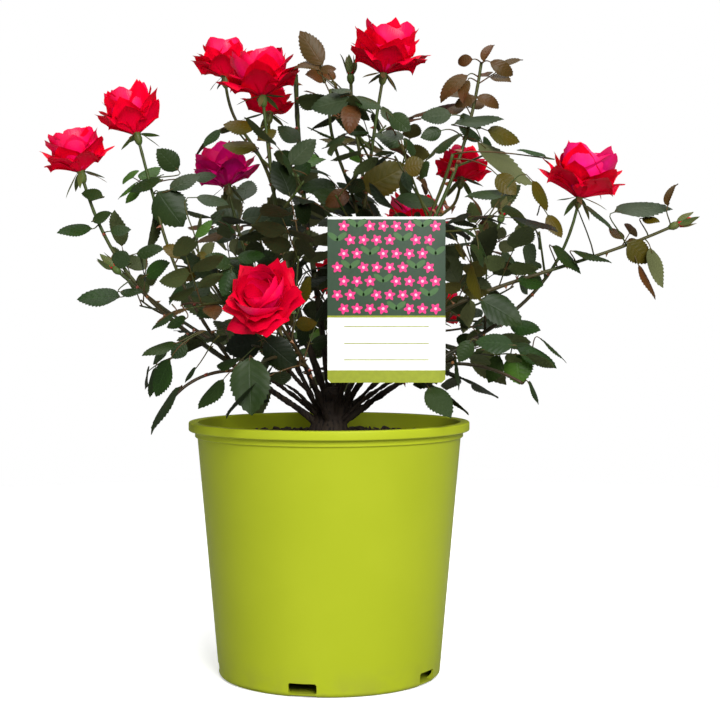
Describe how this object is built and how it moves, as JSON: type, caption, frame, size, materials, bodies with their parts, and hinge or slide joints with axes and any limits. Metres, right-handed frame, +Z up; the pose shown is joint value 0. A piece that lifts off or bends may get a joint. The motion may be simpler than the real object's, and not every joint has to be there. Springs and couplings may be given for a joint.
{
  "type": "rose bush in a nursery pot",
  "caption": "Bushy garden rose with double pink-red blooms and compound leaves on thin canes, growing in a round lime green nursery pot, with a hang tag; stands free as a patio or garden plant.",
  "frame": {"origin": "centre of the pot's flat underside", "axes": "+Z up, -Y is the front, where the hang tag faces, and +X is to the right seen from the front"},
  "size_m": [0.5345, 0.4189, 0.5444],
  "materials": {
    "pot": "lime green moulded plastic, low sheen",
    "soil": "dark, damp bark-based potting mix",
    "bark": "dark brown, rough bark at the trunk",
    "cane": "olive green cane with a faint waxy sheen, browner with age",
    "leaf": "satin dark green leaves with paler undersides; young leaves bronze",
    "petal": "soft velvety petals, cherry red to hot pink",
    "tag": "printed plastic card, slightly glossy"
  },
  "bodies": {
    "root": {"pot": "pot", "soil": "soil", "trunk": "bark", "tag": "tag", "bough_left": "cane", "bough_low_left": "cane", "bough_front_left": "cane", "bough_front": "cane", "bough_front_right": "cane", "bough_low_right": "cane", "bough_far_right": "cane", "bough_right": "cane", "bough_back_right": "cane", "bough_back": "cane", "bough_back_low": "cane", "bough_back_mid": "cane", "bough_back_left": "cane", "bough_side_left": "cane", "bough_top_left": "cane", "bough_pruned": "cane", "bough_top": "cane", "bough_thorny": "cane", "foliage_left": "leaf", "foliage_low_left": "leaf", "foliage_front_left": "leaf", "foliage_front": "leaf", "foliage_front_right": "leaf", "foliage_low_right": "leaf", "foliage_far_right": "leaf", "foliage_right": "leaf", "foliage_back_right": "leaf", "foliage_back": "leaf", "foliage_back_low": "leaf", "foliage_back_mid": "leaf", "foliage_back_left": "leaf", "foliage_side_left": "leaf", "foliage_top_left": "leaf", "foliage_top": "leaf", "foliage_thorny": "leaf"}
  },
  "joints": []
}
